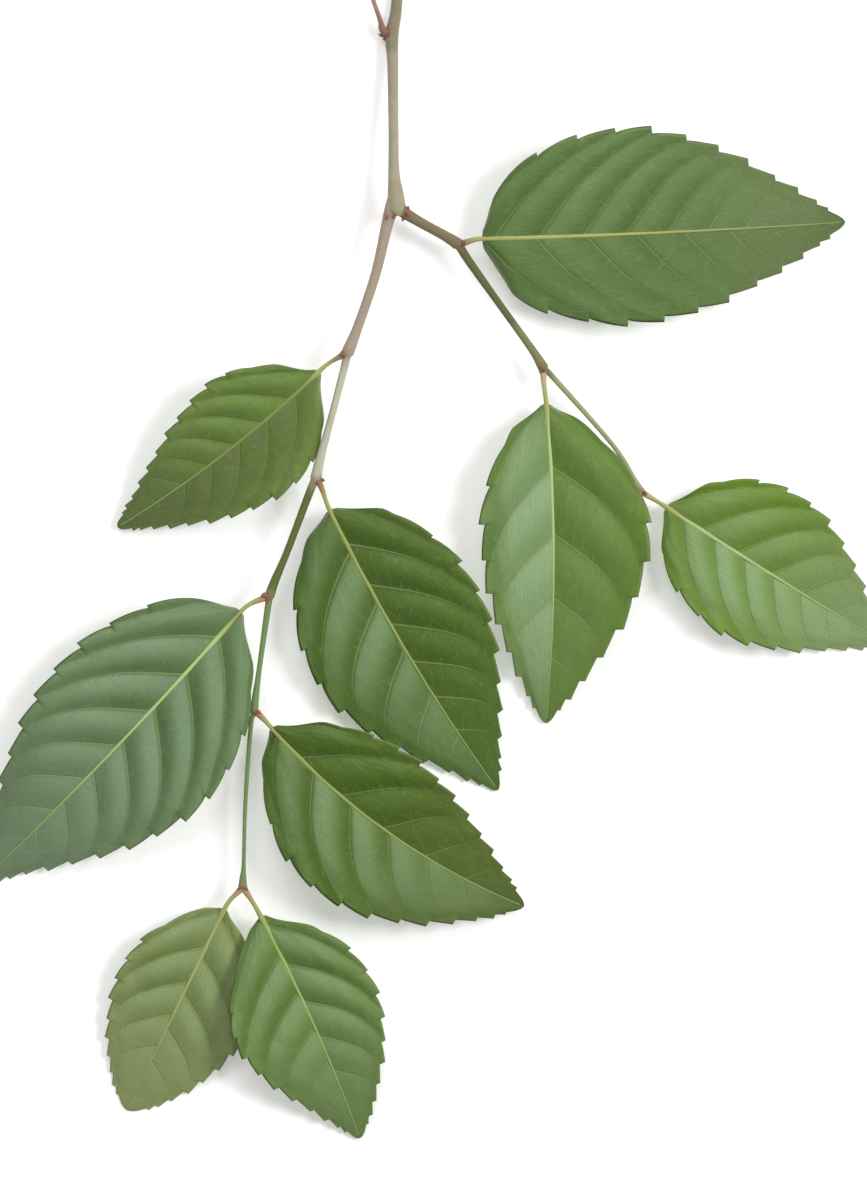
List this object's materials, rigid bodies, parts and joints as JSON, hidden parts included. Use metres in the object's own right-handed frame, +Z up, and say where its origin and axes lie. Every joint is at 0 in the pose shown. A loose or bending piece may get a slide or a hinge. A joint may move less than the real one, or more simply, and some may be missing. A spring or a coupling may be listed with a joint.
{
  "type": "mulberry sprig",
  "caption": "Leafy mulberry sprig cut from the tree and laid flat: a grey-brown twig that forks into zigzag shoots with broad, toothed, quilted green leaves on short stalks.",
  "frame": {"origin": "on the surface that the sprig lies on, under the middle of its bounding box", "axes": "+Y along the sprig from the lowest leaf tips to the twig's cut end, +Z up from the surface, +X to the right as seen from above with the cut end at the top"},
  "size_m": [0.2276, 0.2887, 0.0148],
  "materials": {
    "twig_bark": "matte",
    "left_shoot_bark": "satin",
    "right_shoot_bark": "satin",
    "bare_stalk": "satin",
    "leaf_top_right": "satin",
    "leaf_upper_left": "satin",
    "leaf_centre": "satin",
    "leaf_left": "satin",
    "leaf_lower_centre": "satin",
    "leaf_bottom_left": "satin",
    "leaf_bottom_right": "satin",
    "leaf_hanging": "satin",
    "leaf_far_right": "satin"
  },
  "bodies": {
    "root": {"twig": "twig_bark", "left_shoot": "left_shoot_bark", "right_shoot": "right_shoot_bark", "bare_stalk": "bare_stalk", "leaf_top_right": "leaf_top_right", "leaf_upper_left": "leaf_upper_left", "leaf_centre": "leaf_centre", "leaf_left": "leaf_left", "leaf_lower_centre": "leaf_lower_centre", "leaf_bottom_left": "leaf_bottom_left", "leaf_bottom_right": "leaf_bottom_right", "leaf_hanging": "leaf_hanging", "leaf_far_right": "leaf_far_right"}
  },
  "joints": []
}
